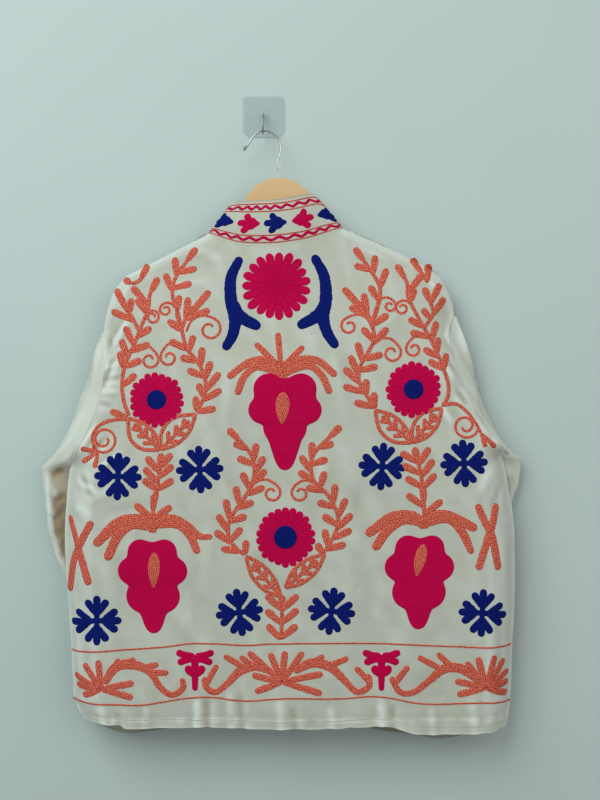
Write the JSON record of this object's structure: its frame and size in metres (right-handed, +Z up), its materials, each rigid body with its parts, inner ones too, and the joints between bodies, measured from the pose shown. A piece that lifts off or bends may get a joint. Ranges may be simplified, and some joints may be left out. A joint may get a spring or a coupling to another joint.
{
  "type": "embroidered jacket on a clothes hanger and wall hook",
  "caption": "Boxy stand-collar cotton jacket, its back covered in raised floral chain-stitch embroidery, hanging on a wooden hanger from a stick-on wall hook, sleeves folded behind.",
  "frame": {"origin": "centre of the wall plate's back face, on the wall", "axes": "+Y into the wall, +Z up, +X to the right as seen by someone who looks at the jacket's back"},
  "size_m": [0.671, 0.0773, 0.8859],
  "materials": {
    "canvas": "matte",
    "ply": "satin",
    "chrome": "polished",
    "clear_plastic": "gloss"
  },
  "bodies": {
    "root": {"back_panel": "canvas", "left_front": "canvas", "right_front": "canvas", "left_sleeve": "canvas", "right_sleeve": "canvas", "collar": "canvas", "hanger_board": "ply", "hanger_hook": "chrome", "wall_hook": "chrome", "wall_plate": "clear_plastic"}
  },
  "joints": []
}
